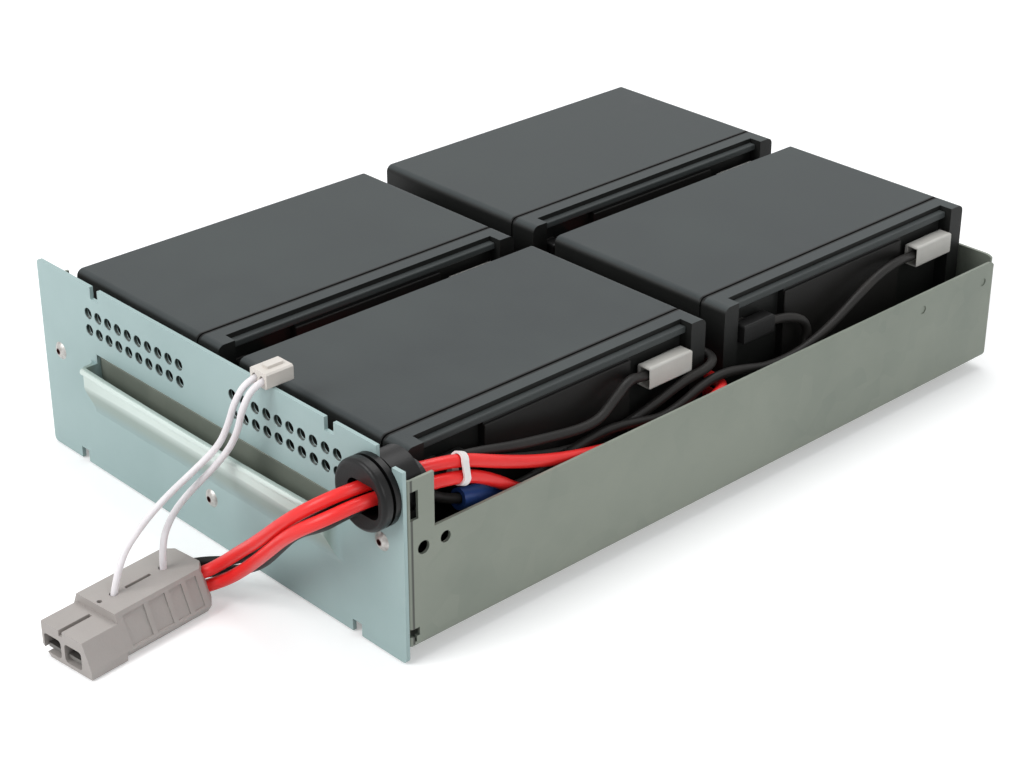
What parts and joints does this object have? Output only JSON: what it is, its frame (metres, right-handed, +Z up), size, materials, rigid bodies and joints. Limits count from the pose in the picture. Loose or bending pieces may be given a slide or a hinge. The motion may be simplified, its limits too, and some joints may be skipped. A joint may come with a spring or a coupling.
{
  "type": "ups battery cartridge",
  "caption": "Steel tray of sealed lead-acid batteries with a scoop-handled front plate and leads that run out to a two-pole power connector.",
  "frame": {"origin": "centre of the tray and front plate in plan, at the height of the plate's bottom edge", "axes": "+Z up, -Y towards the scoop handle, +X towards the side with the cable bushing"},
  "size_m": [0.2212, 0.4213, 0.0887],
  "materials": {
    "tray_steel": "galvanised, dull",
    "plate_paint": "satin",
    "rivet_metal": "satin",
    "bushing_black": "matte",
    "pad_foam": "matte foam",
    "receptacle_grey": "translucent sheen",
    "red_insulation": "satin",
    "black_insulation": "satin",
    "white_insulation": "satin",
    "connector_grey": "matte",
    "contact_metal": "tinned",
    "plug_white": "satin",
    "sleeve_blue": "satin",
    "tie_white": "satin",
    "tie_black": "satin",
    "battery_case": "fine grain",
    "battery_lid": "fine grain",
    "battery_cover": "fine grain"
  },
  "bodies": {
    "root": {"tray": "tray_steel", "front_plate": "plate_paint", "plate_rivets": "rivet_metal", "cable_bushing": "bushing_black", "adhesive_pads": "pad_foam", "rear_receptacles": "receptacle_grey", "front_receptacles": "receptacle_grey", "red_lead_a": "red_insulation", "red_lead_b": "red_insulation", "black_lead_a": "black_insulation", "black_lead_b": "black_insulation", "link_lead_a": "black_insulation", "link_lead_b": "black_insulation", "sense_wire_rear": "white_insulation", "sense_wire_front": "white_insulation", "power_connector": "connector_grey", "power_contacts": "contact_metal", "sense_plug": "plug_white", "sense_plug_contacts": "contact_metal", "fuse_sleeve": "sleeve_blue", "white_cable_tie": "tie_white", "black_cable_tie": "tie_black", "front_right_battery_case": "battery_case", "front_right_battery_lid": "battery_lid", "front_right_battery_vent_cover": "battery_cover", "front_right_battery_terminals": "contact_metal", "rear_right_battery_case": "battery_case", "rear_right_battery_lid": "battery_lid", "rear_right_battery_vent_cover": "battery_cover", "rear_right_battery_terminals": "contact_metal", "front_left_battery_case": "battery_case", "front_left_battery_lid": "battery_lid", "front_left_battery_vent_cover": "battery_cover", "front_left_battery_terminals": "contact_metal", "rear_left_battery_case": "battery_case", "rear_left_battery_lid": "battery_lid", "rear_left_battery_vent_cover": "battery_cover", "rear_left_battery_terminals": "contact_metal"}
  },
  "joints": []
}
